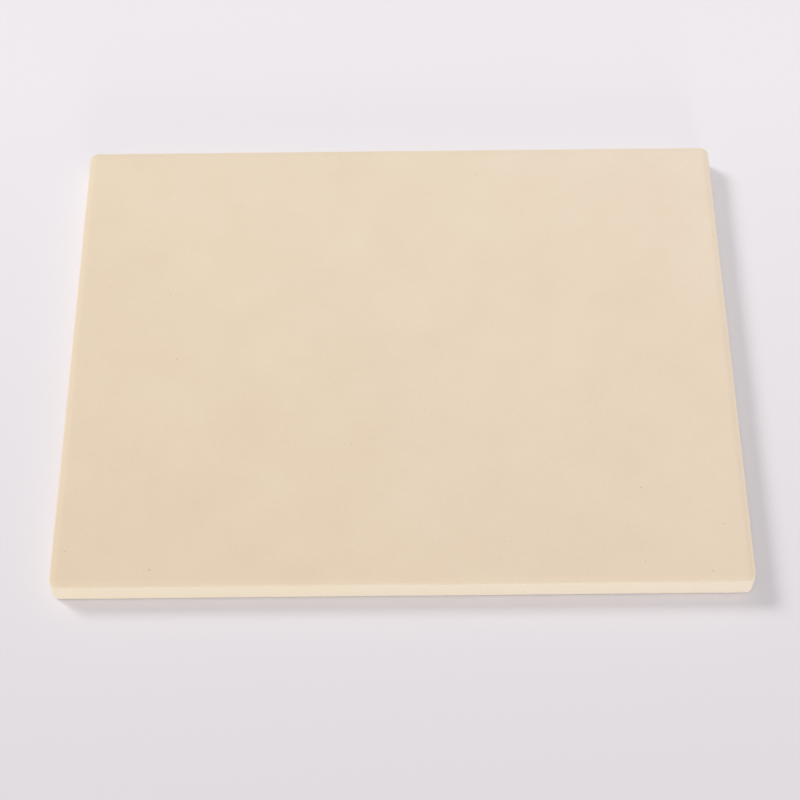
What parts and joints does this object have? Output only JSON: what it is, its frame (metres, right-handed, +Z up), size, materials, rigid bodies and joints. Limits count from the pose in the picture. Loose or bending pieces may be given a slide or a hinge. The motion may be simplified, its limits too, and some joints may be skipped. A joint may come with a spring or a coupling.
{
  "type": "pizza stone",
  "caption": "Rectangular unglazed ceramic baking slab with rounded corners and a shallow pressed bevel round both faces; lies on an oven rack or table and bakes bread or pizza.",
  "frame": {"origin": "middle of the underside, where the stone rests on a rack or table", "axes": "+X along the long side, +Y along the short side to the back edge of the picture, +Z up out of the baking face"},
  "size_m": [0.381, 0.305, 0.014],
  "materials": {
    "fired_cordierite": "matte"
  },
  "bodies": {
    "root": {"baking_stone": "fired_cordierite"}
  },
  "joints": []
}
